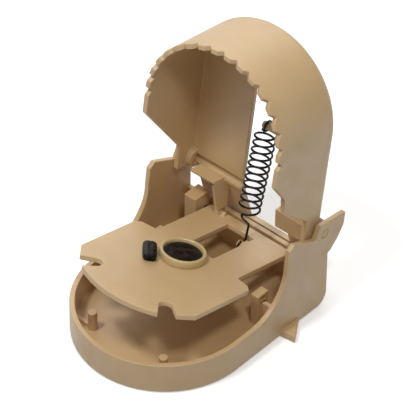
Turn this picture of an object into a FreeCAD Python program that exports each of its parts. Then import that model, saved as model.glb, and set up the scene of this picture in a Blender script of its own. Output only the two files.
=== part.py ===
import FreeCAD, Part
import math
import os
import Sketcher
from FreeCAD import Placement, Rotation, Vector

# A snap mouse trap, set and open. Millimetres, +Z up. The origin is on the ground, under the
# middle of the tray; the nose of the tray points to -Y and +X is the right-hand side seen
# from behind. The trap is drawn set: the striker jaw stands up, the trigger plate is raised.

doc = FreeCAD.newDocument("snap_mouse_trap")
sheet = doc.addObject("Spreadsheet::Sheet", "Sizes")

SIZES = [
    # tray
    ("tray_half_width", 24.0),
    ("tray_wall", 1.4),
    ("tray_floor", 1.4),
    ("nose_centre_y", -5.15),
    ("tray_rear_y", 29.4),
    ("rim_height", 9.2),
    ("rear_wall_top", 11.9),
    ("sweep_start_y", 0.8),
    ("sweep_radius", 12.5),
    ("front_peak_y", 14.0),
    ("front_peak_height", 26.8),
    ("peak_y", 15.8),
    ("peak_height", 28.0),
    ("dip_y", 23.8),
    ("dip_height", 24.1),
    ("ear_front_y", 25.7),
    ("ear_top", 27.6),
    ("ear_rear_y", 35.3),
    ("ear_rear_top", 26.3),
    ("tray_ceiling", 40.0),
    ("heel_radius", 4.0),
    ("bottom_radius", 1.0),
    ("foot_reach", 28.2),
    ("foot_front_y", 11.4),
    ("foot_length", 7.95),
    ("foot_thickness", 2.2),
    ("peg_offset_x", 12.0),
    ("peg_offset_y", -19.0),
    ("peg_radius", 1.2),
    ("peg_height", 7.0),
    # jaw
    ("hinge_y", 27.5),
    ("hinge_height", 24.0),
    ("jaw_open_angle", 98.72),
    ("jaw_half_width", 21.9),
    ("jaw_wall", 1.4),
    ("jaw_arch_reach", 27.85),
    ("jaw_top", 1.63),
    ("jaw_depth", 22.28),
    ("jaw_rear", 2.0),
    ("jaw_edge_radius", 3.0),
    ("slot_far_x", -4.0),
    ("slot_near_x", 10.2),
    ("slot_reach", 29.5),
    ("slot_neck_reach", 37.5),
    ("slot_neck_near_x", 5.0),
    ("tooth_depth", 1.3),
    ("tooth_width", 2.6),
    ("far_barrel_radius", 2.6),
    ("far_barrel_end_x", -19.0),
    ("near_bar_front", 3.2),
    ("near_bar_rear", 2.0),
    ("near_bar_top", 2.0),
    ("near_bar_bottom", 3.6),
    ("press_pad_half_width", 19.0),
    ("press_pad_length", 20.5),
    ("press_pad_angle", 23.0),
    ("press_pad_thickness", 1.8),
    ("catch_far_x", -16.4),
    ("fin_far_x", -9.4),
    ("fin_near_x", -8.4),
    # hinge pins
    ("hinge_pin_radius", 1.25),
    ("running_clearance", 0.05),
    # trigger plate
    ("trigger_axis_y", 25.25),
    ("bracket_reach", 18.6),
    ("trigger_axis_height", 11.15),
    ("trigger_tilt", 13.84),
    ("plate_half_width", 19.2),
    ("plate_thickness", 1.4),
    ("plate_top", 1.5),
    ("plate_front", 52.1),
    ("plate_front_radius", 25.5),
    ("shoulder", 21.0),
    ("arm_outer_x", 14.0),
    ("far_arm_outer_x", 13.2),
    ("arm_rear", 1.2),
    ("arm_inner_x", 4.3),
    ("window_front", 18.3),
    ("window_rear", 2.3),
    ("knuckle_radius", 1.5),
    ("trigger_pin_radius", 0.9),
    # bait
    ("pot_radius", 6.0),
    ("pot_wall", 0.4),
    ("pot_rise", 2.1),
    ("pot_sink", 3.6),
    ("pot_centre_x", -0.8),
    ("pot_centre", 24.4),
    ("pellet_x", -6.4),
    ("pellet_y", 30.6),
    ("pellet_turn", 41.5),
    ("pellet_width", 3.8),
    ("pellet_length", 7.4),
    ("pellet_height", 2.0),
    # spring
    ("spring_x", 2.2),
    ("spring_radius", 2.6),
    ("spring_wire", 0.3),
    ("spring_turns", 11.0),
    ("jaw_anchor_reach", 21.2),
    ("jaw_anchor_rise", -0.5),
    ("anchor_peg_radius", 1.0),
    ("base_anchor_y", 20.9),
    ("base_anchor_height", 11.5),
]
for row, (alias, value) in enumerate(SIZES, start=1):
    sheet.set("A%d" % row, alias)
    sheet.set("B%d" % row, str(value))
    sheet.setAlias("B%d" % row, alias)
doc.recompute()


def size(alias):
    """The value of one driving size."""
    return float(sheet.get(alias))


def cell(alias):
    """The expression that names one driving size."""
    return "Sizes." + alias


def plane_of(body, role):
    """One of a body's own origin planes."""
    for feature in body.Origin.OriginFeatures:
        if feature.Role == role:
            return feature
    raise ValueError(role)


def new_body(label):
    body = doc.addObject("PartDesign::Body", label)
    body.Label = label
    return body


def new_sketch(body, name, role, offset=0.0):
    sketch = body.newObject("Sketcher::SketchObject", name)
    sketch.AttachmentSupport = [(plane_of(body, role), "")]
    sketch.MapMode = "FlatFace"
    sketch.AttachmentOffset = Placement(Vector(0, 0, offset), Rotation())
    return sketch


def pin_point(sketch, geometry, end, across, up):
    """Holds one vertex at a place given by two numbers or expressions."""
    for kind, place in (("DistanceX", across), ("DistanceY", up)):
        value = evaluate(place)
        index = sketch.addConstraint(Sketcher.Constraint(kind, -1, 1, geometry, end, value))
        if isinstance(place, str):
            sketch.setExpression("Constraints[%d]" % index, place)


def evaluate(place):
    """A number as it is; an expression of sheet cells as its value."""
    if not isinstance(place, str):
        return float(place)
    return float(sheet.evalExpression(place.replace("Sizes.", "")))


def draw_loop(sketch, corners):
    """A closed outline. A corner is (x, y), or (x, y, radius, turn) where the side that
    leaves it is an arc; turn is +1 for a side that bulges to its right and -1 to its left."""
    count = len(corners)
    for number, corner in enumerate(corners):
        following = corners[(number + 1) % count]
        start = Vector(evaluate(corner[0]), evaluate(corner[1]), 0)
        end = Vector(evaluate(following[0]), evaluate(following[1]), 0)
        if len(corner) == 2:
            index = sketch.addGeometry(Part.LineSegment(start, end), False)
            pin_point(sketch, index, 1, corner[0], corner[1])
            continue
        radius = evaluate(corner[2])
        chord = end - start
        rise = math.sqrt(max(radius * radius - chord.Length ** 2 / 4, 0.0))
        inward = Vector(-chord.y, chord.x, 0).normalize() * corner[3]
        centre = (start + end) / 2 + inward * rise
        first_end, last_end = (start, end) if corner[3] > 0 else (end, start)
        low = math.atan2(first_end.y - centre.y, first_end.x - centre.x)
        high = math.atan2(last_end.y - centre.y, last_end.x - centre.x)
        high += 2 * math.pi if high <= low else 0.0
        circle = Part.Circle(centre, Vector(0, 0, 1), radius)
        index = sketch.addGeometry(Part.ArcOfCircle(circle, low, high), False)
        first = 1 if corner[3] > 0 else 2
        pin_point(sketch, index, first, corner[0], corner[1])
    total = sketch.GeometryCount
    first_side = total - count
    for number, corner in enumerate(corners):
        here = first_side + number
        after = first_side + (number + 1) % count
        next_corner = corners[(number + 1) % count]
        leaving = 1 if len(corner) == 4 and corner[3] < 0 else 2
        arriving = 2 if len(next_corner) == 4 and next_corner[3] < 0 else 1
        sketch.addConstraint(Sketcher.Constraint("Coincident", here, leaving, after, arriving))
        if len(corner) == 4:
            shape_arc(sketch, here, corner, next_corner)


def shape_arc(sketch, arc, corner, following):
    """Fixes an arc's bulge: by its radius, or by its centre where it is half a circle."""
    radius = evaluate(corner[2])
    across = evaluate(following[0]) - evaluate(corner[0])
    up = evaluate(following[1]) - evaluate(corner[1])
    if math.hypot(across, up) > 2 * radius - 0.001:
        constraint = Sketcher.Constraint("DistanceY", -1, 1, arc, 3, evaluate(corner[1]))
        rule = corner[1]
    else:
        constraint = Sketcher.Constraint("Radius", arc, radius)
        rule = corner[2]
    index = sketch.addConstraint(constraint)
    if isinstance(rule, str):
        sketch.setExpression("Constraints[%d]" % index, rule)


def draw_circle(sketch, across, up, radius):
    circle = Part.Circle(Vector(evaluate(across), evaluate(up), 0), Vector(0, 0, 1), evaluate(radius))
    index = sketch.addGeometry(circle, False)
    pin_point(sketch, index, 3, across, up)
    constraint = sketch.addConstraint(Sketcher.Constraint("Radius", index, evaluate(radius)))
    if isinstance(radius, str):
        sketch.setExpression("Constraints[%d]" % constraint, radius)


def pad(body, sketch, name, length, midplane=False, reverse=False):
    feature = body.newObject("PartDesign::Pad", name)
    feature.Profile = sketch
    feature.Midplane = midplane
    feature.Reversed = reverse
    if isinstance(length, str):
        feature.setExpression("Length", length)
    else:
        feature.Length = length
    doc.recompute()
    return feature


def cut_through(body, sketch, name, width=None):
    """A pocket to both sides of its sketch, right through or over a width; it must cut."""
    before = body.Shape.Volume
    feature = body.newObject("PartDesign::Pocket", name)
    feature.Profile = sketch
    if width is None:
        feature.Type = "ThroughAll"
    else:
        feature.setExpression("Length", width)
    feature.Midplane = True
    doc.recompute()
    if body.Shape.Volume > before - 0.01:
        raise RuntimeError(name + " cut nothing")
    return feature


def tray_outline(inset):
    """The D plan of the tray, drawn in from its outside by inset."""
    edge = "%s - %s" % (cell("tray_half_width"), inset)
    rear = "%s - %s" % (cell("tray_rear_y"), inset)
    nose = cell("nose_centre_y")
    return [
        ("-(%s)" % edge, nose, edge, 1),
        (edge, nose),
        (edge, rear),
        ("-(%s)" % edge, rear),
    ]


def base_tray():
    """The lower moulding: a D-shaped tray whose side walls sweep up to carry the hinge."""
    body = new_body("base_tray")
    wall = cell("tray_wall")
    floor = new_sketch(body, "tray_floor_plan", "XY_Plane")
    draw_loop(floor, tray_outline("0"))
    pad(body, floor, "tray_floor_pad", cell("tray_floor"))
    walls = new_sketch(body, "tray_wall_plan", "XY_Plane")
    draw_loop(walls, tray_outline("0"))
    draw_loop(walls, tray_outline(wall))
    pad(body, walls, "tray_wall_pad", cell("peak_height"))
    round_bottom(body)
    ears = new_sketch(body, "ear_profile", "YZ_Plane")
    draw_loop(ears, [
        (24.0, 17.0),
        (29.8, 16.9),
        (32.7, 19.6),
        (34.8, 22.7),
        (cell("ear_rear_y"), cell("ear_rear_top")),
        (cell("ear_front_y"), cell("ear_top")),
    ])
    pad(body, ears, "ear_pad", "2 * " + cell("tray_half_width"), midplane=True)
    sweep_top = "%s + %s" % (cell("rim_height"), cell("sweep_radius"))
    sweep_end = "%s + %s" % (cell("sweep_start_y"), cell("sweep_radius"))
    above = new_sketch(body, "rim_profile", "YZ_Plane")
    draw_loop(above, [
        (-40.0, cell("rim_height")),
        (cell("sweep_start_y"), cell("rim_height"), cell("sweep_radius"), 1),
        (sweep_end, sweep_top),
        (cell("front_peak_y"), cell("front_peak_height")),
        (cell("peak_y"), cell("peak_height")),
        (cell("dip_y"), cell("dip_height")),
        (cell("ear_front_y"), cell("ear_top")),
        (cell("ear_rear_y"), cell("ear_rear_top")),
        (cell("ear_rear_y"), cell("tray_ceiling")),
        (-40.0, cell("tray_ceiling")),
    ])
    cut_through(body, above, "rim_cut")
    inner = "%s - %s" % (cell("tray_half_width"), wall)
    between = new_sketch(body, "rear_wall_profile", "XZ_Plane")
    draw_loop(between, [
        ("-(%s)" % inner, cell("rear_wall_top")),
        (inner, cell("rear_wall_top")),
        (inner, cell("tray_ceiling")),
        ("-(%s)" % inner, cell("tray_ceiling")),
    ])
    cut_through(body, between, "rear_wall_cut")
    feet = new_sketch(body, "feet_plan", "XY_Plane")
    root = "%s - 0.7" % cell("tray_half_width")
    tip_y = "%s + 0.6" % cell("foot_front_y")
    back_y = "%s + %s" % (cell("foot_front_y"), cell("foot_length"))
    draw_loop(feet, [(root, cell("foot_front_y")), (cell("foot_reach"), tip_y), (root, back_y)])
    draw_loop(feet, [
        ("-(%s)" % root, cell("foot_front_y")),
        ("-(%s)" % root, back_y),
        ("-" + cell("foot_reach"), tip_y),
    ])
    pad(body, feet, "feet_pad", cell("foot_thickness"))
    pegs = new_sketch(body, "peg_plan", "XY_Plane")
    for side in ("", "-"):
        draw_circle(pegs, side + cell("peg_offset_x"), cell("peg_offset_y"), cell("peg_radius"))
    pad(body, pegs, "peg_pad", cell("peg_height"))
    ribs = new_sketch(body, "rib_plan", "XY_Plane")
    for side in (1, -1):
        draw_rectangle(ribs, side * 12.6, side * 17.8, -19.6, -18.4)
    pad(body, ribs, "rib_pad", 2.4)
    webs = new_sketch(body, "post_web_plan", "XY_Plane")
    for side in (1, -1):
        draw_rectangle(webs, side * 17.1, side * 22.9, 10.4, 11.6)
    pad(body, webs, "post_web_pad", 9.0)
    posts = new_sketch(body, "guide_post_plan", "XY_Plane")
    for side in (1, -1):
        draw_rectangle(posts, side * 15.9, side * 18.3, 9.0, 13.0)
    pad(body, posts, "guide_post_pad", 11.4)
    near_bracket = new_sketch(body, "near_bracket_plan", "XY_Plane")
    draw_rectangle(near_bracket, 14.5, 16.5, 23.4, 28.4)
    pad(body, near_bracket, "near_bracket_pad", 13.6)
    far_bracket = new_sketch(body, "far_bracket_plan", "XY_Plane")
    draw_rectangle(far_bracket, -17.9, -14.0, 21.6, 27.0)
    pad(body, far_bracket, "far_bracket_pad", 16.4)
    anchor = new_sketch(body, "spring_anchor_plan", "XY_Plane")
    draw_rectangle(anchor, 3.0, 4.0, 18.9, 22.0)
    pad(body, anchor, "spring_anchor_pad", 13.0)
    anchor_peg = new_sketch(body, "spring_anchor_profile", "YZ_Plane", 1.2)
    draw_circle(anchor_peg, cell("base_anchor_y"), cell("base_anchor_height"),
                cell("anchor_peg_radius"))
    pad(body, anchor_peg, "spring_anchor_peg", 2.2)
    hinge = new_sketch(body, "hinge_bore_profile", "YZ_Plane")
    draw_circle(hinge, cell("hinge_y"), cell("hinge_height"), cell("hinge_pin_radius"))
    cut_through(body, hinge, "hinge_bore")
    small = new_sketch(body, "bracket_hole_profile", "YZ_Plane")
    draw_circle(small, cell("trigger_axis_y"), cell("trigger_axis_height"),
                cell("trigger_pin_radius"))
    draw_circle(small, 11.0, 9.7, 0.9)
    cut_through(body, small, "bracket_holes", "2 * " + cell("bracket_reach"))
    return body


def round_bottom(body):
    """Rounds the tray's lower rear corner, then the rest of its bottom edge."""
    square = body.Tip
    corner = body.newObject("PartDesign::Fillet", "heel_fillet")
    corner.Base = (square, bottom_edges(square, at_rear=True))
    corner.setExpression("Radius", cell("heel_radius"))
    doc.recompute()
    rest = body.newObject("PartDesign::Fillet", "bottom_fillet")
    rest.Base = (corner, bottom_edges(corner, at_rear=False))
    rest.setExpression("Radius", cell("bottom_radius"))
    doc.recompute()


def bottom_edges(feature, at_rear):
    """The tray's edges on the ground: the rear one, or those round the nose."""
    names = []
    for number, edge in enumerate(feature.Shape.Edges, start=1):
        box = edge.BoundBox
        on_ground = box.ZMax < 0.01
        rear = box.YMin > size("tray_rear_y") - 0.01
        nose = box.YMin < size("nose_centre_y") - 1
        if on_ground and (rear if at_rear else nose):
            names.append("Edge%d" % number)
    return names


def draw_rectangle(sketch, left, right, front, rear):
    low, high = min(left, right), max(left, right)
    draw_loop(sketch, [(low, front), (high, front), (high, rear), (low, rear)])


def jaw_outline(inset, rear):
    edge = "%s - %s" % (cell("jaw_half_width"), inset)
    arch = "-" + cell("jaw_arch_reach")
    return [("-(%s)" % edge, arch, edge, 1), (edge, arch), (edge, rear), ("-(%s)" % edge, rear)]


def striker_jaw():
    """The striker, drawn shut about its hinge axis (forward is -Y) and then swung open."""
    body = new_body("striker_jaw")
    top = cell("jaw_top")
    wall = cell("jaw_wall")
    rear = cell("jaw_rear")
    panel = new_sketch(body, "panel_plan", "XY_Plane")
    draw_loop(panel, jaw_outline("0", rear))
    panel_pad = pad(body, panel, "panel_pad", cell("jaw_depth"), reverse=True)
    panel.setExpression("AttachmentOffset.Base.z", top)
    doc.recompute()
    edge_fillet = body.newObject("PartDesign::Fillet", "shoulder_fillet")
    edge_fillet.Base = (panel_pad, top_edges(panel_pad))
    edge_fillet.setExpression("Radius", cell("jaw_edge_radius"))
    doc.recompute()
    hollow = new_sketch(body, "hollow_plan", "XY_Plane")
    hollow.setExpression("AttachmentOffset.Base.z", "%s - %s" % (top, wall))
    draw_loop(hollow, jaw_outline(wall, rear + " + 4"))
    before = body.Shape.Volume
    hollow_cut = body.newObject("PartDesign::Pocket", "hollow_cut")
    hollow_cut.Profile = hollow
    hollow_cut.Type = "ThroughAll"
    doc.recompute()
    if body.Shape.Volume > before - 1000:
        raise RuntimeError("hollow_cut cut nothing")
    diagonal = new_sketch(body, "cheek_profile", "YZ_Plane")
    draw_loop(diagonal, [
        (-21.5, -30.0),
        (-21.5, -20.65),
        (-16.4, -16.2),
        (-12.0, -15.6),
        (-5.0, -5.5),
        (8.0, -5.5),
        (8.0, -30.0),
    ])
    cut_through(body, diagonal, "cheek_cut")
    far_cheek = new_sketch(body, "far_cheek_profile", "YZ_Plane")
    draw_loop(far_cheek, [(-21.5, -30.0), (-21.5, -20.65), (-5.0, -5.5), (-5.0, -30.0)])
    before = body.Shape.Volume
    far_cut = body.newObject("PartDesign::Pocket", "far_cheek_cut")
    far_cut.Profile = far_cheek
    far_cut.Type = "Length"
    far_cut.setExpression("Length", cell("tray_half_width"))
    doc.recompute()
    if body.Shape.Volume > before - 10:
        raise RuntimeError("far_cheek_cut cut nothing")
    near_bar = new_sketch(body, "near_bar_profile", "YZ_Plane")
    near_bar.setExpression("AttachmentOffset.Base.z", cell("slot_near_x"))
    draw_loop(near_bar, as_seen_open([
        (-size("near_bar_front"), -size("near_bar_bottom")),
        (size("near_bar_rear"), -size("near_bar_bottom")),
        (size("near_bar_rear"), size("near_bar_top")),
        (-size("near_bar_front"), size("near_bar_top")),
    ]))
    pad(body, near_bar, "near_bar_pad", "%s - %s" % (cell("jaw_half_width"), cell("slot_near_x")))
    far_barrel = new_sketch(body, "far_barrel_profile", "YZ_Plane")
    far_barrel.setExpression("AttachmentOffset.Base.z", "-" + cell("jaw_half_width"))
    draw_circle(far_barrel, 0.0, 0.0, cell("far_barrel_radius"))
    pad(body, far_barrel, "far_barrel_pad",
        "%s + %s" % (cell("jaw_half_width"), cell("far_barrel_end_x")))
    slope = math.radians(size("press_pad_angle"))
    run = size("press_pad_length") * math.cos(slope)
    rise = size("press_pad_length") * math.sin(slope)
    back = size("press_pad_thickness") * math.sin(slope)
    down = size("press_pad_thickness") * math.cos(slope)
    lever = new_sketch(body, "press_pad_profile", "YZ_Plane")
    draw_loop(lever, [
        (0.5, top),
        (0.5 + back, "%s - %g" % (top, down)),
        (0.5 + back + run, "%s + %g" % (top, rise - down)),
        (0.5 + run, "%s + %g" % (top, rise)),
    ])
    pad(body, lever, "press_pad", "2 * " + cell("press_pad_half_width"), midplane=True)
    catch = new_sketch(body, "catch_profile", "YZ_Plane")
    catch.setExpression("AttachmentOffset.Base.z", cell("catch_far_x"))
    draw_loop(catch, as_seen_open([(-5.3, 0.4), (0.9, -0.9), (0.9, 0.1), (-5.3, 1.4)]))
    pad(body, catch, "catch_pad", "%s - %s" % (cell("fin_near_x"), cell("catch_far_x")))
    fin = new_sketch(body, "fin_profile", "YZ_Plane")
    fin.setExpression("AttachmentOffset.Base.z", cell("fin_far_x"))
    draw_loop(fin, as_seen_open([(-4.0, -9.2), (0.0, -10.0), (0.9, -1.0), (0.9, 0.1), (-5.3, 1.4)]))
    pad(body, fin, "fin_pad", "%s - %s" % (cell("fin_near_x"), cell("fin_far_x")))
    slot = new_sketch(body, "slot_plan", "XY_Plane")
    draw_loop(slot, [
        (cell("slot_near_x"), 12.0),
        (cell("slot_far_x"), 12.0),
        (cell("slot_far_x"), "-" + cell("slot_reach")),
        (0.0, "-" + cell("slot_reach")),
        (0.0, "-" + cell("slot_neck_reach")),
        (cell("slot_neck_near_x"), "-" + cell("slot_neck_reach")),
        (cell("slot_neck_near_x"), "-" + cell("slot_reach")),
        (cell("slot_near_x"), "-" + cell("slot_reach")),
    ])
    cut_through(body, slot, "slot_cut")
    anchor = new_sketch(body, "anchor_profile", "YZ_Plane", 0.9)
    draw_circle(anchor, "-" + cell("jaw_anchor_reach"), cell("jaw_anchor_rise"),
                cell("anchor_peg_radius"))
    pad(body, anchor, "anchor_peg", cell("slot_near_x") + " + 1")
    bore = new_sketch(body, "barrel_bore_profile", "YZ_Plane")
    draw_circle(bore, 0.0, 0.0,
                "%s + %s" % (cell("hinge_pin_radius"), cell("running_clearance")))
    cut_through(body, bore, "barrel_bore")
    teeth = new_sketch(body, "tooth_gap_profile", "YZ_Plane")
    teeth.setExpression("AttachmentOffset.Base.x", "-" + cell("jaw_arch_reach"))
    rim = "%s - %s" % (top, cell("jaw_depth"))
    half_gap = "%s / 2" % cell("tooth_width")
    draw_loop(teeth, [
        ("-(%s)" % half_gap, rim + " - 0.2"),
        (half_gap, rim + " - 0.2"),
        (0.0, "%s + %s" % (rim, cell("tooth_depth"))),
    ])
    before = body.Shape.Volume
    gap = body.newObject("PartDesign::Pocket", "tooth_gap")
    gap.Profile = teeth
    gap.Type = "Length"
    gap.Length = 24.0
    gap.Reversed = True
    doc.recompute()
    if body.Shape.Volume > before - 0.5:
        raise RuntimeError("tooth_gap cut nothing")
    row = body.newObject("PartDesign::PolarPattern", "teeth")
    row.Originals = [gap]
    row.Axis = (teeth, ["V_Axis"])
    row.Angle = 180.0
    row.Occurrences = 17
    row.Reversed = True
    body.Tip = row
    doc.recompute()
    body.setExpression("Placement.Base.y", cell("hinge_y"))
    body.setExpression("Placement.Base.z", cell("hinge_height"))
    body.Placement.Rotation = Rotation(Vector(1, 0, 0), -size("jaw_open_angle"))
    return body


def as_seen_open(points):
    """Turns (forward, up) points about the hinge from the open jaw to the shut one."""
    turn = math.radians(size("jaw_open_angle"))
    return [(y * math.cos(turn) - z * math.sin(turn), y * math.sin(turn) + z * math.cos(turn))
            for y, z in points]


def top_edges(feature):
    """The edges round the top of a feature, but not the straight one over the hinge."""
    box = feature.Shape.BoundBox
    names = []
    for number, edge in enumerate(feature.Shape.Edges, start=1):
        level = edge.BoundBox
        on_top = level.ZMin > box.ZMax - 0.01
        at_rear = level.YMin > box.YMax - 0.01
        if on_top and not at_rear:
            names.append("Edge%d" % number)
    return names


def trigger_plate():
    """The treadle, drawn flat about its pivot axis and then tilted nose-up."""
    body = new_body("trigger_plate")
    half = cell("plate_half_width")
    top = cell("plate_top")
    thickness = cell("plate_thickness")
    arm = cell("arm_outer_x")
    far_arm = cell("far_arm_outer_x")
    shoulder = "-" + cell("shoulder")
    front = "-" + cell("plate_front")
    brow_x = 14.6
    brow_drop = size("plate_front_radius")
    brow_drop -= math.sqrt(size("plate_front_radius") ** 2 - brow_x ** 2)
    brow = "%s + %g" % (front, brow_drop)
    plan = new_sketch(body, "plate_plan", "XY_Plane")
    plan.setExpression("AttachmentOffset.Base.z", top)
    draw_loop(plan, [
        (-brow_x, brow, cell("plate_front_radius"), 1),
        (brow_x, brow),
        (half, brow + " + 5.7"),
        (half, shoulder + " - 0.8"),
        (half + " - 1.4", shoulder + " + 0.4"),
        (arm, shoulder + " + 1"),
        (arm, cell("arm_rear")),
        ("-" + far_arm, cell("arm_rear")),
        ("-" + far_arm, shoulder + " + 1"),
        ("-(%s - 1.4)" % half, shoulder + " + 0.4"),
        ("-" + half, shoulder + " - 0.8"),
        ("-" + half, brow + " + 5.7"),
    ])
    pad(body, plan, "plate_pad", thickness, reverse=True)
    inner = cell("arm_inner_x")
    trigger_knuckle(body, "near", inner, arm)
    trigger_knuckle(body, "far", "-" + far_arm, "-" + inner)
    sear = new_sketch(body, "sear_profile", "YZ_Plane")
    sear.setExpression("AttachmentOffset.Base.z", cell("fin_far_x") + " - 1")
    draw_loop(sear, [
        (-1.4, "%s - 0.5" % top),
        (0.2, "%s - 0.5" % top),
        (0.2, "%s + 1" % top),
        (-0.6, "%s + 1" % top),
    ])
    pad(body, sear, "sear_pad", 3.2)
    openings = new_sketch(body, "plate_openings", "XY_Plane")
    draw_loop(openings, [
        ("-" + inner, "-" + cell("window_front")),
        (inner, "-" + cell("window_front")),
        (inner, "-" + cell("window_rear")),
        ("-" + inner, "-" + cell("window_rear")),
    ])
    draw_circle(openings, cell("pot_centre_x"), "-" + cell("pot_centre"),
                "%s - %s" % (cell("pot_radius"), cell("pot_wall")))
    for side in (1, -1):
        draw_notch(openings, side)
    cut_through(body, openings, "openings_cut")
    bore = new_sketch(body, "trigger_bore_profile", "YZ_Plane")
    draw_circle(bore, 0.0, 0.0,
                "%s + %s" % (cell("trigger_pin_radius"), cell("running_clearance")))
    cut_through(body, bore, "trigger_bore")
    body.setExpression("Placement.Base.y", cell("trigger_axis_y"))
    body.setExpression("Placement.Base.z", cell("trigger_axis_height"))
    body.Placement.Rotation = Rotation(Vector(1, 0, 0), -size("trigger_tilt"))
    return body


def trigger_knuckle(body, side, start, end):
    """The round boss under one arm of the plate, on the pivot axis."""
    profile = new_sketch(body, side + "_knuckle_profile", "YZ_Plane")
    profile.setExpression("AttachmentOffset.Base.z", start)
    draw_circle(profile, 0.0, 0.0, cell("knuckle_radius"))
    pad(body, profile, side + "_knuckle_pad", "%s - (%s)" % (end, start))


def draw_notch(sketch, side):
    """A guide notch that runs in diagonally from the plate's front corner."""
    inner = Vector(side * 11.4, -44.4, 0)
    along = Vector(side * 0.72, -0.69, 0).normalize()
    across = Vector(-along.y, along.x, 0) * side
    mouth = inner + along * 9
    narrow = across * 1.7
    wide = across * 3.0
    corners = [inner - narrow, mouth - wide, mouth + wide, inner + narrow]
    if side < 0:
        corners.reverse()
    outline = [(corner.x, corner.y) for corner in corners]
    outline[3] = (corners[3].x, corners[3].y, 1.75, 1)
    draw_loop(sketch, outline)


def placed(label, shape, axis_y, axis_z, tilt):
    """A Part::Feature whose shape is drawn about an axis along X and then turned about it."""
    feature = doc.addObject("Part::Feature", label)
    feature.Label = label
    feature.Shape = shape
    turned = Placement(Vector(0, axis_y, axis_z), Rotation(Vector(1, 0, 0), tilt))
    feature.Placement = turned.multiply(shape.Placement)
    return feature


def bait_pot():
    """A pressed-in cup that stands a little above the plate and hangs below it."""
    body = new_body("bait_pot")
    outer = cell("pot_radius")
    inner = "%s - %s" % (outer, cell("pot_wall"))
    across = cell("pot_centre_x")
    centre = "-" + cell("pot_centre")
    top = cell("plate_top")
    ring = new_sketch(body, "pot_ring_plan", "XY_Plane")
    ring.setExpression("AttachmentOffset.Base.z", top)
    draw_circle(ring, across, centre, outer)
    draw_circle(ring, across, centre, inner + " - 0.6")
    pad(body, ring, "pot_ring", cell("pot_rise"))
    well = new_sketch(body, "pot_well_plan", "XY_Plane")
    well.setExpression("AttachmentOffset.Base.z", top)
    draw_circle(well, across, centre, inner)
    draw_circle(well, across, centre, inner + " - 0.6")
    pad(body, well, "pot_well", cell("pot_sink"), reverse=True)
    bottom = new_sketch(body, "pot_floor_plan", "XY_Plane")
    bottom.setExpression("AttachmentOffset.Base.z", "%s - %s" % (top, cell("pot_sink")))
    draw_circle(bottom, across, centre, inner)
    pad(body, bottom, "pot_floor", 0.8)
    body.setExpression("Placement.Base.y", cell("trigger_axis_y"))
    body.setExpression("Placement.Base.z", cell("trigger_axis_height"))
    body.Placement.Rotation = Rotation(Vector(1, 0, 0), -size("trigger_tilt"))
    return body


def bait_paste():
    """The plug of dark bait that fills the pot, with a low domed top."""
    radius = size("pot_radius") - size("pot_wall") - 0.6
    centre = Vector(size("pot_centre_x"), -size("pot_centre"), 0)
    floor = size("plate_top") - size("pot_sink") + 0.8
    rim = size("plate_top") + size("pot_rise") - 0.8
    plug = Part.makeCylinder(radius, rim - floor, centre + Vector(0, 0, floor))
    dome_radius = 16.0
    dome_sink = math.sqrt(dome_radius ** 2 - radius ** 2)
    dome = Part.makeSphere(dome_radius, centre + Vector(0, 0, rim - dome_sink))
    cap = Part.makeCylinder(radius, 4.0, centre + Vector(0, 0, rim))
    shape = plug.fuse(dome.common(cap)).removeSplitter()
    return placed("bait_paste", shape, size("trigger_axis_y"), size("trigger_axis_height"),
                  -size("trigger_tilt"))


def bait_pellet():
    """A pressed bar of the same bait that lies on the plate beside the pot."""
    length = size("pellet_length")
    width = size("pellet_width")
    height = size("pellet_height")
    bar = Part.makeBox(width, length, height, Vector(-width / 2, -length / 2, 0))
    bar = bar.makeFillet(0.8, [edge for edge in bar.Edges if edge.BoundBox.ZMax > 0.01])
    bar.rotate(Vector(0, 0, 0), Vector(0, 0, 1), size("pellet_turn"))
    bar.translate(Vector(size("pellet_x"), -size("pellet_y"), size("plate_top")))
    return placed("bait_pellet", bar, size("trigger_axis_y"), size("trigger_axis_height"),
                  -size("trigger_tilt"))


def hinge_pin(label, left, right):
    """A steel pin along X from left to right on the jaw's axis."""
    pin = doc.addObject("Part::Cylinder", label)
    pin.Label = label
    pin.setExpression("Radius", cell("hinge_pin_radius"))
    pin.Height = right - left
    place = Placement(Vector(left, size("hinge_y"), size("hinge_height")),
                      Rotation(Vector(0, 1, 0), 90))
    pin.Placement = place
    return pin


def trigger_pin():
    """The long pin that carries the plate between the two rear brackets."""
    pin = doc.addObject("Part::Cylinder", "trigger_pin")
    pin.Label = "trigger_pin"
    pin.setExpression("Radius", cell("trigger_pin_radius"))
    pin.Height = 33.0
    pin.Placement = Placement(Vector(-16.5, size("trigger_axis_y"), size("trigger_axis_height")),
                              Rotation(Vector(0, 1, 0), 90))
    return pin


def spring_ends():
    """Where the spring hooks on: the tray's anchor peg and the jaw's, with the jaw open."""
    angle = math.radians(size("jaw_open_angle"))
    reach = size("jaw_anchor_reach")
    rise = size("jaw_anchor_rise")
    low = Vector(size("spring_x"), size("base_anchor_y"), size("base_anchor_height"))
    high = Vector(
        size("spring_x"),
        size("hinge_y") - reach * math.cos(angle) + rise * math.sin(angle),
        size("hinge_height") + reach * math.sin(angle) + rise * math.cos(angle),
    )
    return low, high


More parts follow.
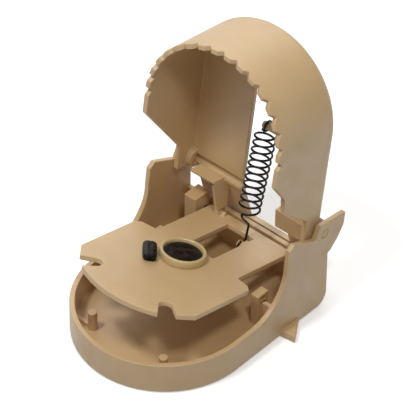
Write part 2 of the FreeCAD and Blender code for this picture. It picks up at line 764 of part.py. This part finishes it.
def snap_spring():
    """An extension coil stretched between its two pegs, with a long lower hook."""
    low, high = spring_ends()
    length = (high - low).Length
    wire = size("spring_wire")
    hook = size("anchor_peg_radius") + wire + 0.1
    coil_start = 10.2
    coil_end = length - hook - 0.6
    pitch = (coil_end - coil_start) / size("spring_turns")
    path = Part.makeHelix(pitch, coil_end - coil_start, size("spring_radius"))
    path.translate(Vector(0, 0, coil_start))
    profile = Part.Wire(Part.makeCircle(
        wire, Vector(size("spring_radius"), 0, coil_start), Vector(0, 1, 0)))
    coil = Part.Wire(path).makePipeShell([profile], True, True)
    side = size("spring_radius")
    shape = coil
    shape = shape.fuse(rod(Vector(side, 0, coil_start), Vector(0, 0, hook), wire))
    shape = shape.fuse(rod(Vector(side, 0, coil_end), Vector(0, 0, length - hook), wire))
    shape = shape.fuse(hook_ring(0.0, hook, wire))
    shape = shape.fuse(hook_ring(length, hook, wire))
    feature = doc.addObject("Part::Feature", "snap_spring")
    feature.Label = "snap_spring"
    feature.Shape = shape
    lean = Rotation(Vector(0, 0, 1), high - low)
    feature.Placement = Placement(low, lean)
    return feature


def rod(start, end, radius):
    """A round bar between two points, with a slightly larger ball at each end."""
    along = end - start
    shape = Part.makeCylinder(radius, along.Length, start, along)
    for point in (start, end):
        shape = shape.fuse(Part.makeSphere(1.25 * radius, point))
    return shape


def hook_ring(height, radius, wire):
    """The end loop that goes round an anchor peg, in the plane across the peg."""
    return Part.makeTorus(radius, wire, Vector(0, 0, height), Vector(1, 0, 0))


def check_and_export(pieces):
    """Nothing is written unless every object is sound."""
    for thing in doc.Objects:
        if "Invalid" in thing.State or "Error" in thing.State:
            raise RuntimeError("%s: %s" % (thing.Name, thing.State))
    for piece in pieces:
        if piece.Shape.isNull() or not piece.Shape.isValid() or not piece.Shape.Solids:
            raise RuntimeError(piece.Label + " has no sound shape")
    os.makedirs("parts", exist_ok=True)
    for piece in pieces:
        piece.Shape.exportStep("parts/%s.step" % piece.Label)
        box = piece.Shape.optimalBoundingBox()
        print("%-16s %2d solid(s) %9.1f mm3  x %.1f..%.1f  y %.1f..%.1f  z %.1f..%.1f" % (
            piece.Label, len(piece.Shape.Solids), piece.Shape.Volume,
            box.XMin, box.XMax, box.YMin, box.YMax, box.ZMin, box.ZMax))


def main():
    outer = size("tray_half_width")
    pieces = [
        base_tray(),
        striker_jaw(),
        hinge_pin("hinge_pin_right", size("slot_near_x") + 1.0, outer),
        hinge_pin("hinge_pin_left", -outer, size("far_barrel_end_x") - 0.6),
        trigger_plate(),
        trigger_pin(),
        bait_pot(),
        bait_paste(),
        bait_pellet(),
        snap_spring(),
    ]
    doc.recompute()
    check_and_export(pieces)


main()
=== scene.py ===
import math
import random

import bmesh
import bpy
from mathutils import Matrix, Vector
from mathutils.bvhtree import BVHTree
from mathutils.kdtree import KDTree


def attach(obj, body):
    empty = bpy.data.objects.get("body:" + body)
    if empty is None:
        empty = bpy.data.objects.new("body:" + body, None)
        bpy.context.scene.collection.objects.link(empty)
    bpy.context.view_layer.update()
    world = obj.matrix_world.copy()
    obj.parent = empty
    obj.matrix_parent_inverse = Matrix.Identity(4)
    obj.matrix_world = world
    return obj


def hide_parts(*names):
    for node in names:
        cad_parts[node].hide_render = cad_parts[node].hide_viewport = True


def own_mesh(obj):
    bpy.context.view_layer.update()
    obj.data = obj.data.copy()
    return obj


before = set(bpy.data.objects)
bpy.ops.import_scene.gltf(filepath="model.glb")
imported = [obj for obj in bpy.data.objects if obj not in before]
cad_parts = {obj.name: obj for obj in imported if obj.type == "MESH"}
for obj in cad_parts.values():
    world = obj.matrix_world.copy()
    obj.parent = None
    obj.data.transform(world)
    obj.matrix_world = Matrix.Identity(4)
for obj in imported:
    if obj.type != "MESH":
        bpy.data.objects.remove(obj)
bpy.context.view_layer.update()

MM = 0.001

# Nearly all of a noise texture's values lie between these two.
NOISE_LOW = 0.3
NOISE_HIGH = 0.7

# The part's own places and sizes, in mm.
HINGE = Vector((0, 27.5, 24.0))
HINGE_PIN_RADIUS = 1.25
TRIGGER_AXIS = Vector((0, 25.25, 11.15))
TRIGGER_PIN_RADIUS = 0.9
PLATE_TILT = math.radians(-13.84)
PLATE_TOP = 1.5
POT_CENTRE = Vector((-0.8, -24.4, 0))
PELLET_PLACE = Vector((-6.4, -30.6, PLATE_TOP))
PELLET_TURN = math.radians(41.5)
SPRING_LOW = Vector((2.2, 20.9, 11.5))
SPRING_HIGH = Vector((2.2, 30.22, 45.03))
WIRE_RADIUS = 0.3

plate_frame = Matrix.Translation(TRIGGER_AXIS) @ Matrix.Rotation(PLATE_TILT, 4, "X")
pot_frame = plate_frame @ Matrix.Translation(POT_CENTRE)


def linear(red, green, blue):
    """Screen colour values 0..255 to the linear values a shader takes."""
    out = []
    for value in (red, green, blue):
        value = value / 255
        out.append(value / 12.92 if value <= 0.04045 else ((value + 0.055) / 1.055) ** 2.4)
    return (*out, 1.0)


def shifted(shade, red, green, blue):
    """A screen colour with a number added to each of its values, as linear values."""
    return linear(shade[0] + red, shade[1] + green, shade[2] + blue)


class Material:
    """A node material with a Principled shader and helpers to wire textures into it."""

    def __init__(self, name, roughness, **sockets):
        self.material = bpy.data.materials.new(name)
        self.material.use_nodes = True
        self.nodes = self.material.node_tree.nodes
        self.links = self.material.node_tree.links
        self.nodes.clear()
        output = self.nodes.new("ShaderNodeOutputMaterial")
        self.shader = self.nodes.new("ShaderNodeBsdfPrincipled")
        self.links.new(self.shader.outputs["BSDF"], output.inputs["Surface"])
        self.shader.inputs["Roughness"].default_value = roughness
        for socket, value in sockets.items():
            self.shader.inputs[socket.replace("_", " ")].default_value = value
        self.coordinates = self.nodes.new("ShaderNodeTexCoord").outputs["Object"]

    def noise(self, scale, detail):
        node = self.nodes.new("ShaderNodeTexNoise")
        node.inputs["Scale"].default_value = scale
        node.inputs["Detail"].default_value = detail
        self.links.new(self.coordinates, node.inputs["Vector"])
        return node.outputs["Fac"]

    def ramp(self, factor, stops):
        node = self.nodes.new("ShaderNodeValToRGB")
        ramp = node.color_ramp
        while len(ramp.elements) < len(stops):
            ramp.elements.new(0.5)
        for element, (position, colour) in zip(ramp.elements, stops):
            element.position = position
            element.color = colour
        self.links.new(factor, node.inputs["Fac"])
        return node.outputs["Color"]

    def remap(self, factor, low, high):
        node = self.nodes.new("ShaderNodeMapRange")
        node.inputs["From Min"].default_value = NOISE_LOW
        node.inputs["From Max"].default_value = NOISE_HIGH
        node.inputs["To Min"].default_value = low
        node.inputs["To Max"].default_value = high
        self.links.new(factor, node.inputs["Value"])
        return node.outputs["Result"]

    def bump(self, height, strength, distance):
        node = self.nodes.new("ShaderNodeBump")
        node.inputs["Strength"].default_value = strength
        node.inputs["Distance"].default_value = distance
        self.links.new(height, node.inputs["Height"])
        self.links.new(node.outputs["Normal"], self.shader.inputs["Normal"])

    def colour(self, source):
        self.links.new(source, self.shader.inputs["Base Color"])

    def roughness(self, source):
        self.links.new(source, self.shader.inputs["Roughness"])


def moulded(name, shade, roughness=0.45):
    """Moulded plastic: slow cloudy colour, a satin finish that varies and a fine texture."""
    made = Material(name, roughness, Specular_IOR_Level=1.0, Subsurface_Weight=0.08,
                    Subsurface_Scale=0.002, Subsurface_Radius=(1.0, 0.6, 0.35),
                    Sheen_Weight=0.1, Sheen_Roughness=0.5)
    made.colour(made.ramp(made.noise(scale=45.0, detail=4.0), [
        (NOISE_LOW, shifted(shade, -7, -8, -9)),
        (NOISE_HIGH, shifted(shade, 5, 5, 4)),
    ]))
    made.roughness(made.remap(made.noise(scale=300.0, detail=2.0),
                              low=roughness - 0.06, high=roughness + 0.07))
    made.bump(made.noise(scale=2600.0, detail=3.0), strength=0.12, distance=0.1 * MM)
    return made.material


def steel(name, shade):
    """Plain steel wire and pins: a slightly uneven tone and finish."""
    made = Material(name, 0.3, Metallic=1.0)
    made.colour(made.ramp(made.noise(scale=900.0, detail=3.0), [
        (NOISE_LOW, shifted(shade, -12, -12, -12)),
        (NOISE_HIGH, shifted(shade, 12, 12, 12)),
    ]))
    made.roughness(made.remap(made.noise(scale=1500.0, detail=2.0), low=0.22, high=0.42))
    return made.material


def bait(name):
    """Dark waxy bait: near-black, glossy in patches, with fine grains in it."""
    made = Material(name, 0.3, Specular_IOR_Level=0.2, Coat_Weight=0.06, Coat_Roughness=0.2)
    made.colour(made.ramp(made.noise(scale=700.0, detail=5.0), [
        (0.3, linear(10, 9, 8)),
        (0.62, linear(22, 18, 16)),
        (0.75, linear(44, 35, 28)),
    ]))
    made.roughness(made.remap(made.noise(scale=1200.0, detail=3.0), low=0.22, high=0.5))
    made.bump(made.noise(scale=1400.0, detail=4.0), strength=0.5, distance=0.3 * MM)
    return made.material


materials = {
    "base_plastic": moulded("base_plastic", (204, 171, 124)),
    "jaw_plastic": moulded("jaw_plastic", (205, 173, 126)),
    "plate_plastic": moulded("plate_plastic", (204, 172, 125)),
    "pot_plastic": moulded("pot_plastic", (205, 180, 128), roughness=0.3),
    "pin_steel": steel("pin_steel", (150, 148, 142)),
    "spring_steel": steel("spring_steel", (50, 50, 54)),
    "bait": bait("bait"),
}
slots = {
    "base_tray": "base_plastic",
    "striker_jaw": "jaw_plastic",
    "trigger_plate": "plate_plastic",
    "bait_pot": "pot_plastic",
    "bait_paste": "bait",
    "bait_pellet": "bait",
    "hinge_pin_left": "base_plastic",
    "hinge_pin_right": "base_plastic",
    "trigger_pin": "pin_steel",
    "snap_spring": "spring_steel",
}
for node, slot in slots.items():
    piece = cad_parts[node]
    piece.data.materials.clear()
    piece.data.materials.append(materials[slot])


def link(piece):
    bpy.context.collection.objects.link(piece)
    return piece


def clean(mesh):
    """Joins points that meet and turns every face outwards."""
    bm = bmesh.new()
    bm.from_mesh(mesh)
    bmesh.ops.remove_doubles(bm, verts=bm.verts, dist=0.001 * MM)
    bmesh.ops.recalc_face_normals(bm, faces=bm.faces)
    bm.to_mesh(mesh)
    bm.free()


def dress(mesh, node):
    """Gives a mesh its CAD node's material and smooth shading."""
    mesh.materials.clear()
    mesh.materials.append(materials[slots[node]])
    for polygon in mesh.polygons:
        polygon.use_smooth = True


def stand_for(piece, node, body):
    """Makes a linked piece the visible form of a CAD node."""
    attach(piece, body)
    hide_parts(node)
    return piece


def finished(name, verts, faces, node, body, place):
    """Turns points in mm and faces into the visible piece for a CAD node."""
    mesh = bpy.data.meshes.new(name)
    mesh.from_pydata([place @ Vector(v) * MM for v in verts], [], faces)
    clean(mesh)
    dress(mesh, node)
    return stand_for(link(bpy.data.objects.new(name, mesh)), node, body)


def evaluated_mesh(piece):
    """A new mesh of an object as its modifiers, or its curve's bevel, leave it."""
    bpy.context.view_layer.update()
    graph = bpy.context.evaluated_depsgraph_get()
    return bpy.data.meshes.new_from_object(piece.evaluated_get(graph))


def apply_modifiers(piece):
    mesh = evaluated_mesh(piece)
    piece.modifiers.clear()
    piece.data = mesh


def moulding(name, node, body, radius):
    """A copy of a CAD moulding whose sharp edges are rounded off, as they leave a mould."""
    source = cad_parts[node]
    mesh = source.data.copy()
    mesh.name = name
    mesh.transform(source.matrix_world)
    bm = bmesh.new()
    bm.from_mesh(mesh)
    bmesh.ops.remove_doubles(bm, verts=bm.verts, dist=0.002 * MM)
    surface = BVHTree.FromBMesh(bm)
    corners = KDTree(len(bm.verts))
    for index, vertex in enumerate(bm.verts):
        corners.insert(vertex.co, index)
    corners.balance()
    spans = [[vertex.co[axis] for vertex in bm.verts] for axis in range(3)]
    box = [(min(span), max(span)) for span in spans]
    bmesh.ops.dissolve_limit(bm, angle_limit=math.radians(0.6), verts=bm.verts,
                             edges=bm.edges, use_dissolve_boundaries=False)
    bm.to_mesh(mesh)
    bm.free()
    dress(mesh, node)
    piece = link(bpy.data.objects.new(name, mesh))
    bevel = piece.modifiers.new("edges", "BEVEL")
    bevel.width = radius * MM
    bevel.segments = 2
    bevel.limit_method = "ANGLE"
    bevel.angle_limit = math.radians(35)
    bevel.use_clamp_overlap = False
    apply_modifiers(piece)
    pull_back(piece.data, surface, box, 0.6 * radius * MM)
    close_folds(piece.data, surface, corners)
    weighted = piece.modifiers.new("shading", "WEIGHTED_NORMAL")
    weighted.mode = "FACE_AREA"
    weighted.weight = 100
    apply_modifiers(piece)
    return stand_for(piece, node, body)


def pull_back(mesh, surface, box, limit):
    """Puts points that the rounding threw off the surface back on it, and keeps every point
    inside the CAD moulding's box."""
    for vertex in mesh.vertices:
        place, _, _, distance = surface.find_nearest(vertex.co)
        if distance > limit:
            vertex.co = place
        for axis, (low, high) in enumerate(box):
            vertex.co[axis] = min(max(vertex.co[axis], low), high)


def close_folds(mesh, surface, corners):
    """Closes the small folds that the rounding leaves where two faces are nearly tangent. A
    folded face looks away from the CAD surface it lies on. Its shortest edge is welded, onto
    the end that is nearer to a point of the CAD mesh."""
    most_passes = 6
    most_sides = 6
    least_area = 0.05 * MM * MM
    reach = 0.1 * MM
    turned_away = -0.2
    bm = bmesh.new()
    bm.from_mesh(mesh)
    for _ in range(most_passes):
        bm.normal_update()
        welds = {}
        used = set()
        for face in bm.faces:
            if len(face.verts) > most_sides or face.calc_area() < least_area:
                continue
            _, normal, _, distance = surface.find_nearest(face.calc_center_median())
            if distance > reach or normal.dot(face.normal) > turned_away:
                continue
            ends = min(face.edges, key=lambda edge: edge.calc_length()).verts
            if ends[0] in used or ends[1] in used:
                continue
            used.update(ends)
            kept, moved = sorted(ends, key=lambda vertex: corners.find(vertex.co)[2])
            welds[moved] = kept
        if not welds:
            break
        bmesh.ops.weld_verts(bm, targetmap=welds)
    bmesh.ops.dissolve_degenerate(bm, edges=bm.edges, dist=0.001 * MM)
    bare = [edge for edge in bm.edges if not edge.link_faces]
    bmesh.ops.delete(bm, geom=bare, context="EDGES")
    loose = [vertex for vertex in bm.verts if not vertex.link_faces]
    bmesh.ops.delete(bm, geom=loose, context="VERTS")
    bm.to_mesh(mesh)
    bm.free()


def circle(steps):
    """The cosine and sine of angles spread evenly round a circle."""
    angles = [2 * math.pi * step / steps for step in range(steps)]
    return [(math.cos(angle), math.sin(angle)) for angle in angles]


def band(low, steps):
    """The faces between the ring of points that starts at index low and the ring after it."""
    return [(low + step, low + (step + 1) % steps,
             low + steps + (step + 1) % steps, low + steps + step) for step in range(steps)]


def lathe(profile, steps):
    """Turns (radius, height) points about the Z axis; the first and last are on the axis."""
    verts = [(0, 0, profile[0][1]), (0, 0, profile[-1][1])]
    rings = profile[1:-1]
    for radius, height in rings:
        verts.extend((radius * c, radius * s, height) for c, s in circle(steps))
    first = 2
    last = first + (len(rings) - 1) * steps
    faces = []
    for step in range(steps):
        after = (step + 1) % steps
        faces.append((0, first + after, first + step))
        faces.append((1, last + step, last + after))
    for low in range(first, last, steps):
        faces.extend(band(low, steps))
    return verts, faces


def pin(name, node, left, right, radius, axis):
    """A round pin along X with a slightly domed, chamfered end on each side."""
    length = right - left
    end = [(0, 0), (0.5 * radius, 0.02), (radius - 0.22, 0.06), (radius - 0.08, 0.14),
           (radius, 0.32)]
    other_end = [(out, length - height) for out, height in reversed(end)]
    verts, faces = lathe(end + [(radius, length / 2)] + other_end, steps=40)
    place = Matrix.Translation(Vector((left, axis.y, axis.z))) @ Matrix.Rotation(
        math.pi / 2, 4, "Y")
    return finished(name, verts, faces, node, "base", place)


def pot():
    """The cup with its thin rounded rim that stands on the plate. The profile runs under the
    cup, up its outside, over the rim and down its inside."""
    low = PLATE_TOP - 3.6
    rim = PLATE_TOP + 2.1
    verts, faces = lathe([
        (0, low), (4.9, low), (5.3, low + 0.1), (5.54, low + 0.4), (5.59, low + 0.9),
        (5.59, PLATE_TOP), (5.86, PLATE_TOP), (5.98, PLATE_TOP + 0.12), (5.95, rim - 0.5),
        (5.89, rim - 0.22), (5.75, rim - 0.06), (5.53, rim), (5.3, rim - 0.05),
        (5.12, rim - 0.2), (5.04, rim - 0.45), (5.01, low + 1.6), (4.9, low + 1.1),
        (4.6, low + 0.9), (0, low + 0.82),
    ], steps=96)
    return finished("pot_cup", verts, faces, "bait_pot", "trigger", pot_frame)


def paste():
    """Dark glossy bait pressed into the cup: a low dome with finger-sized dents."""
    random.seed(7)
    floor = PLATE_TOP - 2.78
    top = PLATE_TOP + 1.3
    dome = 0.62
    radius = 4.98
    edge_width = 0.38
    edge_drop = 0.25
    dents = [(random.uniform(-3.6, 3.6), random.uniform(-3.6, 3.6),
              random.uniform(0.9, 1.8), random.uniform(0.12, 0.34)) for _ in range(14)]
    steps = 96
    rings = 30

    def height(x, y):
        reach = math.hypot(x, y)
        value = top + dome * (1 - (reach / radius) ** 2)
        for cx, cy, size, depth in dents:
            value -= depth * math.exp(-((x - cx) ** 2 + (y - cy) ** 2) / (size * size))
        return value - edge_drop * max(0.0, (reach - radius + edge_width) / edge_width) ** 2

    verts = [(0, 0, floor), (0, 0, height(0, 0))]
    verts.extend((radius * c, radius * s, floor) for c, s in circle(steps))
    for ring in range(rings):
        reach = radius * (rings - ring) / rings
        verts.extend((reach * c, reach * s, height(reach * c, reach * s))
                     for c, s in circle(steps))
    first = 2
    last = first + rings * steps
    faces = []
    for step in range(steps):
        after = (step + 1) % steps
        faces.append((0, first + after, first + step))
        faces.append((last + step, last + after, 1))
    for low in range(first, last, steps):
        faces.extend(band(low, steps))
    return finished("bait_fill", verts, faces, "bait_paste", "trigger", pot_frame)


def pellet():
    """A pressed bar of bait with ribs along it, lying on the plate beside the cup."""
    random.seed(11)
    long_steps = 44
    round_steps = 56
    half_length = 3.66
    half_width = 1.86
    half_height = 0.975
    squareness = 0.62
    rib_count = 12
    rib_depth = 0.07
    unevenness = 0.025
    verts = []
    faces = []
    for i in range(long_steps + 1):
        t = -1 + 2 * i / long_steps
        y = half_length * math.sin(t * math.pi / 2)
        end = max(0.0, 1 - abs(t) ** 5) ** 0.5
        for k, (c, s) in enumerate(circle(round_steps)):
            angle = 2 * math.pi * k / round_steps
            x = half_width * math.copysign(abs(c) ** squareness, c)
            z = half_height * math.copysign(abs(s) ** squareness, s)
            rib = 1 - rib_depth * (0.5 + 0.5 * math.cos(angle * rib_count))
            rough = 1 - unevenness * random.random()
            verts.append((x * end * rib * rough, y * rough,
                          half_height + z * (0.35 + 0.65 * end) * rib * rough))
    for i in range(long_steps):
        faces.extend(band(i * round_steps, round_steps))
    faces.append(tuple(range(round_steps - 1, -1, -1)))
    faces.append(tuple(range(long_steps * round_steps, (long_steps + 1) * round_steps)))
    place = (plate_frame @ Matrix.Translation(PELLET_PLACE)
             @ Matrix.Rotation(PELLET_TURN, 4, "Z"))
    return finished("bait_bar", verts, faces, "bait_pellet", "trigger", place)


def wire(name, points):
    """A round steel wire through points given in mm, as a linked mesh object."""
    curve = bpy.data.curves.new(name + "_path", "CURVE")
    curve.dimensions = "3D"
    curve.bevel_depth = WIRE_RADIUS * MM
    curve.bevel_resolution = 3
    curve.use_fill_caps = True
    line = curve.splines.new("POLY")
    line.points.add(len(points) - 1)
    for point, place in zip(line.points, points):
        point.co = (*(place * MM), 1)
    holder = link(bpy.data.objects.new(name + "_path", curve))
    mesh = evaluated_mesh(holder)
    bpy.data.objects.remove(holder)
    mesh.name = name
    clean(mesh)
    dress(mesh, "snap_spring")
    return link(bpy.data.objects.new(name, mesh))


def smoothed(path, passes):
    """A path whose points are averaged with their neighbours; its two ends stay."""
    for _ in range(passes):
        path = [path[0]] + [
            tuple((a + 2 * b + c) / 4 for a, b, c in zip(path[i - 1], path[i], path[i + 1]))
            for i in range(1, len(path) - 1)] + [path[-1]]
    return path


def spring():
    """One bent wire in three pieces: a hook round the tray's peg with a long shank, a loop
    round the jaw's peg, and the coil between them. The path is in mm from the tray's peg:
    to the side, across, and along towards the jaw's."""
    length = (SPRING_HIGH - SPRING_LOW).length
    along = (SPRING_HIGH - SPRING_LOW).normalized()
    side = Vector((1, 0, 0))
    across = along.cross(side)
    hook = 1.36
    shank_end = 5.0
    coil_start = 10.2
    coil_radius = 2.8
    turns = 11.5
    top = length - hook
    coil_end = top - 0.5
    start_angle = 3 * math.pi / 2
    end_angle = start_angle + 2 * math.pi * turns

    path = []
    for i in range(40):
        angle = math.radians(-250 + 250 * i / 39)
        path.append((0, hook * math.cos(angle), hook * math.sin(angle)))
    for i in range(1, 21):
        path.append((0, hook, shank_end * i / 20))
    joint = len(path) - 1
    for i in range(1, 41):
        t = i / 40
        late = t * t * (3 - 2 * t)
        path.append((0.2 * math.sin(math.pi * t), hook - (hook + coil_radius) * late,
                     shank_end + (coil_start - 0.3 - shank_end) * t))
    coil_steps = int(turns * 40)
    for i in range(coil_steps + 1):
        angle = start_angle + 2 * math.pi * turns * i / coil_steps
        path.append((coil_radius * math.cos(angle), coil_radius * math.sin(angle),
                     coil_start + (coil_end - coil_start) * i / coil_steps))
    for i in range(1, 31):
        angle = end_angle + math.pi * i / 30
        inward = coil_radius * (1 - i / 30)
        path.append((inward * math.cos(angle), inward * math.sin(angle),
                     coil_end + (top - coil_end) * i / 30))
    points = [SPRING_LOW + side * a + across * b + along * c
              for a, b, c in smoothed(path, passes=5)]

    loop = []
    for i in range(41):
        angle = math.radians(-90 + 350 * i / 40)
        loop.append(SPRING_HIGH + across * (hook * math.cos(angle))
                    + along * (hook * math.sin(angle)))

    lower = wire("lower_hook", points[:joint + 1])
    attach(lower, "spring")
    upper = wire("upper_loop", loop)
    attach(upper, "jaw")
    coil = stand_for(wire("coil", points[joint:]), "snap_spring", "spring")
    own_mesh(coil)


moulding("tray_moulding", "base_tray", "base", radius=0.22)
moulding("jaw_moulding", "striker_jaw", "jaw", radius=0.2)
moulding("plate_moulding", "trigger_plate", "trigger", radius=0.18)
pot()
paste()
pellet()
pin("left_pin", "hinge_pin_left", -24.0, -19.6, HINGE_PIN_RADIUS, HINGE)
pin("right_pin", "hinge_pin_right", 11.2, 24.0, HINGE_PIN_RADIUS, HINGE)
pin("plate_pin", "trigger_pin", -16.5, 16.5, TRIGGER_PIN_RADIUS, TRIGGER_AXIS)
spring()


def studio():
    """A white room, a white floor that glows faintly and doesn't light the trap from below,
    two small lamps high over the front of the trap and a wide soft one behind it."""
    bpy.context.scene.view_settings.view_transform = "Standard"
    world = bpy.data.worlds.new("studio")
    bpy.context.scene.world = world
    world.use_nodes = True
    background = world.node_tree.nodes["Background"]
    background.inputs["Color"].default_value = (1.0, 0.99, 0.98, 1.0)
    background.inputs["Strength"].default_value = 0.26

    floor_mesh = bpy.data.meshes.new("floor")
    reach = 3.0
    floor_mesh.from_pydata(
        [(-reach, -reach, 0), (reach, -reach, 0), (reach, reach, 0), (-reach, reach, 0)],
        [], [(0, 1, 2, 3)])
    floor = link(bpy.data.objects.new("floor", floor_mesh))
    paper = Material("floor_paper", 0.8)
    paper.colour(paper.ramp(paper.noise(scale=8.0, detail=3.0), [
        (NOISE_LOW, (0.93, 0.93, 0.93, 1)),
        (NOISE_HIGH, (0.95, 0.95, 0.95, 1)),
    ]))
    paper.shader.inputs["Emission Color"].default_value = (1.0, 1.0, 1.0, 1.0)
    paper.shader.inputs["Emission Strength"].default_value = 0.3
    floor_mesh.materials.append(paper.material)
    floor.visible_diffuse = False

    lamp("key", (-0.094, -0.334, 0.83), width=0.13, power=2.7)
    lamp("second", (0.36, -0.24, 0.8), width=0.13, power=2.1)
    lamp("back", (-0.5, 0.56, 0.66), width=1.2, power=5.0)


def lamp(name, place, width, power):
    """A round lamp that faces the middle of the trap."""
    light = bpy.data.lights.new(name, "AREA")
    light.shape = "DISK"
    light.size = width
    light.energy = power
    holder = link(bpy.data.objects.new(name, light))
    holder.location = place
    aim = Vector((0, 0.005, 0.03)) - Vector(place)
    holder.rotation_euler = aim.to_track_quat("-Z", "Y").to_euler()


def camera():
    """The photograph's viewing direction, framed on the trap."""
    azimuth = math.radians(41.48)
    elevation = math.radians(41.49)
    roll = math.radians(0.56)
    distance = 0.835
    shift_right = 3.67 * MM
    shift_down = 1.47 * MM
    back = Vector((math.sin(azimuth) * math.cos(elevation),
                   -math.cos(azimuth) * math.cos(elevation), math.sin(elevation)))
    level = Vector((math.cos(azimuth), math.sin(azimuth), 0))
    up = back.cross(level)
    right = level * math.cos(roll) + up * math.sin(roll)
    top = up * math.cos(roll) - level * math.sin(roll)
    aim = Vector((0, 5 * MM, 35 * MM)) + right * shift_right - top * shift_down
    place = aim + back * distance
    lens = bpy.data.cameras.new("camera")
    lens.sensor_width = 36.0
    lens.lens = 293.5
    lens.clip_start = 0.01
    holder = link(bpy.data.objects.new("camera", lens))
    holder.matrix_world = Matrix((
        (right.x, top.x, back.x, place.x),
        (right.y, top.y, back.y, place.y),
        (right.z, top.z, back.z, place.z),
        (0, 0, 0, 1),
    ))
    bpy.context.scene.camera = holder


studio()
camera()
